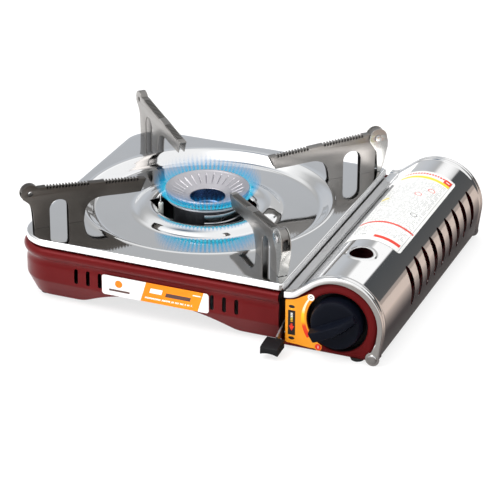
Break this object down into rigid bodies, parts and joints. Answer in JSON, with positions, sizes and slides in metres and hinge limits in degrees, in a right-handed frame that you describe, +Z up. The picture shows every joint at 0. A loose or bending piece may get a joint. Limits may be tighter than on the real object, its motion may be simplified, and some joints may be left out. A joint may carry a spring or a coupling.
{
  "type": "camping stove",
  "caption": "Portable tabletop gas stove with a lift-off trivet plate, a canister bay under a hinged cover, a gas knob and a canister lock lever.",
  "frame": {"origin": "centre of the bounding box, at the level of the feet's soles", "axes": "+X towards the canister side, +Y towards the back, away from the knob, +Z up"},
  "size_m": [0.3348, 0.294, 0.0996],
  "materials": {
    "case_paint": "maroon baked enamel, satin gloss, on pressed steel",
    "plated_sheet": "zinc-plated steel sheet, dull",
    "black_plastic": "black moulded plastic, fine texture",
    "knob_plastic": "blue-black moulded plastic, semi-gloss",
    "front_label_print": null,
    "control_label_print": "printed film sticker, amber with a flame scale",
    "cover_label_print": null,
    "foot_rubber": "black rubber",
    "cast_cup": "dark heat-stained die-cast aluminium",
    "cast_head": "satin die-cast aluminium",
    "burner_steel": "stainless steel",
    "jet_brass": "turned brass",
    "pipe_copper": "bent copper pipe",
    "electrode_ceramic": "white glazed ceramic",
    "lead_cover": "red silicone insulation",
    "cam_plastic": "natural nylon",
    "cast_zinc": "die-cast zinc, dull grey",
    "pin_steel": "bright plated steel",
    "mirror_plate": "bright polished stainless sheet, mirror finish",
    "mirror_cover": "bright polished stainless sheet, mirror finish",
    "trivet_steel": "grey-brown satin nickel plate on folded steel",
    "guard_steel": "light bright-plated folded sheet"
  },
  "bodies": {
    "case": {"lower_case": "case_paint", "base_pan": "plated_sheet", "partition": "plated_sheet", "bay_tray": "case_paint", "control_panel": "case_paint", "knob_recess": "black_plastic", "rear_end_plate": "case_paint", "front_label": "front_label_print", "control_label": "control_label_print", "rubber_feet": "foot_rubber", "burner_bracket": "plated_sheet", "burner_cup": "cast_cup", "burner_band": "burner_steel", "burner_head": "cast_head", "mixing_tube": "burner_steel", "gas_jet": "jet_brass", "gas_pipe": "pipe_copper", "electrode_holder": "plated_sheet", "electrode_ceramic": "electrode_ceramic", "electrode_tip": "pin_steel", "ignition_lead": "lead_cover", "piezo_igniter": "black_plastic", "gas_regulator": "cast_zinc", "regulator_bracket": "plated_sheet", "canister_cradle": "plated_sheet", "yoke_guides": "pin_steel", "lever_pivot": "pin_steel", "bracket_screws": "pin_steel", "cover_hinge_rivets": "pin_steel"},
    "top_plate": {"drip_plate": "mirror_plate", "trivet_front_right": "trivet_steel", "trivet_rear_right": "trivet_steel", "trivet_rear_left": "trivet_steel", "trivet_front_left": "trivet_steel", "guard_pins": "pin_steel"},
    "front_guard": {"pan_guard_front": "guard_steel"},
    "rear_guard": {"pan_guard_rear": "guard_steel"},
    "cover": {"canister_cover": "mirror_cover", "cover_label": "cover_label_print"},
    "knob_body": {"knob": "knob_plastic", "knob_spindle": "pin_steel", "igniter_cam": "cam_plastic"},
    "igniter_rod": {"igniter_plunger": "pin_steel"},
    "lock_lever": {"lever_arm": "plated_sheet", "lever_cap": "black_plastic"},
    "yoke": {"canister_yoke": "plated_sheet"}
  },
  "joints": [
    {"name": "plate_lift", "type": "slide", "parent": "case", "child": "top_plate", "axis": [0, 0, 1], "range_m": [0, 0.06]},
    {"name": "front_guard_turn", "type": "hinge", "parent": "top_plate", "child": "front_guard", "pos_m": [0.07161, -0.10446, 0.091], "axis": [-0.7071, -0.7071, 0], "range_deg": [0, 175]},
    {"name": "rear_guard_turn", "type": "hinge", "parent": "top_plate", "child": "rear_guard", "pos_m": [0.07161, 0.12535, 0.091], "axis": [0.7071, -0.7071, 0], "range_deg": [0, 175]},
    {"name": "cover_hinge", "type": "hinge", "parent": "case", "child": "cover", "pos_m": [0.1586, -0.12195, 0.0062], "axis": [0, 1, 0], "range_deg": [0, 82]},
    {"name": "knob_turn", "type": "hinge", "parent": "case", "child": "knob_body", "pos_m": [0.1272, -0.12195, 0.0325], "axis": [0, 1, 0], "range_deg": [-27, 72]},
    {"name": "igniter_slide", "type": "slide", "parent": "case", "child": "igniter_rod", "axis": [1, 0, 0], "range_m": [-0.0018, 0.0046]},
    {"name": "lever_turn", "type": "hinge", "parent": "case", "child": "lock_lever", "pos_m": [0.07865, -0.08395, 0.03], "axis": [-1, 0, 0], "range_deg": [0, 40]},
    {"name": "yoke_slide", "type": "slide", "parent": "case", "child": "yoke", "axis": [0, 1, 0], "range_m": [0, 0.00788]}
  ],
  "couplings": [
    {"joint": "igniter_slide", "follows": "knob_turn", "m_per_rad": 0.0034725},
    {"joint": "yoke_slide", "follows": "lever_turn", "m_per_rad": 0.011268}
  ]
}
